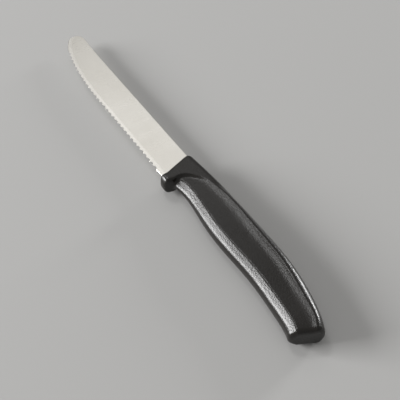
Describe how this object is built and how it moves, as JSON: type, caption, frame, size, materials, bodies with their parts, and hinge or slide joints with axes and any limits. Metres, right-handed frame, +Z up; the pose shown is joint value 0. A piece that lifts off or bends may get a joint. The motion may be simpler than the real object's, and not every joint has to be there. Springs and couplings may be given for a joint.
{
  "type": "tomato knife",
  "caption": "Small serrated tomato knife with a round-tipped stainless blade and a black moulded plastic handle with a finger guard.",
  "frame": {"origin": "centre of the bounding box's bottom face", "axes": "+X from the handle to the blade's tip, +Y from the back to the cutting edge, +Z up through the blade's left side; the knife lies on the right side of its handle"},
  "size_m": [0.2208, 0.0232, 0.0124],
  "materials": {
    "steel": "satin",
    "plastic": "fine grain"
  },
  "bodies": {
    "root": {"blade": "steel", "handle": "plastic"}
  },
  "joints": []
}
